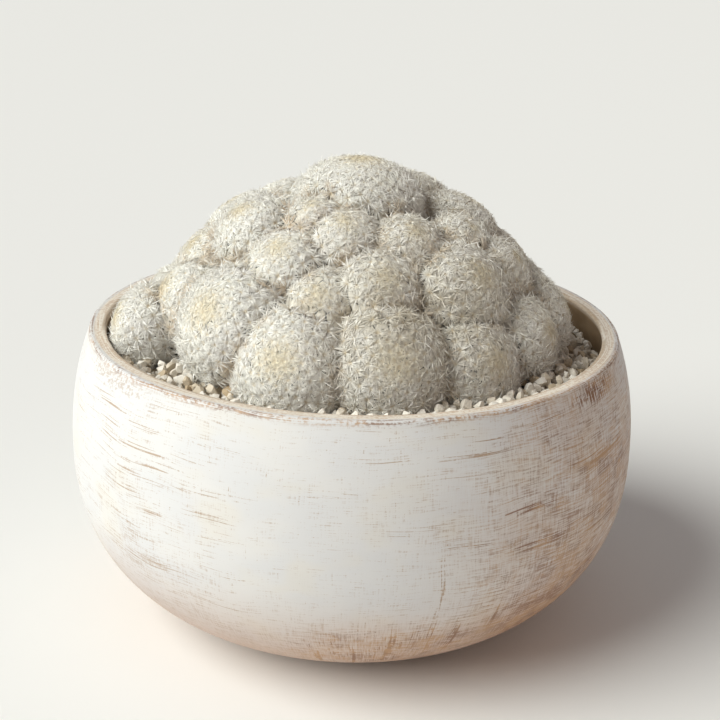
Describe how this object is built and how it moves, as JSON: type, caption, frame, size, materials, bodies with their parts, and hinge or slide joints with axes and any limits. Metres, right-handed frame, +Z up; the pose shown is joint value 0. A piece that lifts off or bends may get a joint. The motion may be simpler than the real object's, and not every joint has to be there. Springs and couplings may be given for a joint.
{
  "type": "potted feather cactus",
  "caption": "Low mound of crowded feather cactus heads, covered in white spine stars, on pale gravel in a round bowl with a worn white finish.",
  "frame": {"origin": "middle of the bowl's flat foot, on the surface it stands on", "axes": "+Z up along the bowl's axis, -Y towards the front of the pictured view, +X to the right"},
  "size_m": [0.21, 0.21, 0.1732],
  "materials": {
    "bowl": "matte",
    "soil": "matte",
    "gravel": "matte",
    "spines": "matte"
  },
  "bodies": {
    "root": {"bowl": "bowl", "soil": "soil", "gravel": "gravel", "head_crown": "spines", "head_upper_1": "spines", "head_upper_2": "spines", "head_upper_3": "spines", "head_upper_4": "spines", "head_upper_5": "spines", "head_upper_6": "spines", "head_upper_7": "spines", "head_upper_8": "spines", "head_upper_9": "spines", "head_upper_10": "spines", "head_middle_1": "spines", "head_middle_2": "spines", "head_middle_3": "spines", "head_middle_4": "spines", "head_middle_5": "spines", "head_middle_6": "spines", "head_middle_7": "spines", "head_middle_8": "spines", "head_middle_9": "spines", "head_middle_10": "spines", "head_middle_11": "spines", "head_middle_12": "spines", "head_middle_13": "spines", "head_base_1": "spines", "head_base_2": "spines", "head_base_3": "spines", "head_base_4": "spines", "head_base_5": "spines", "head_base_6": "spines", "head_base_7": "spines", "head_base_8": "spines", "head_base_9": "spines", "head_base_10": "spines", "head_base_11": "spines", "head_base_12": "spines", "head_base_13": "spines", "head_base_14": "spines", "head_base_15": "spines", "head_base_16": "spines"}
  },
  "joints": []
}
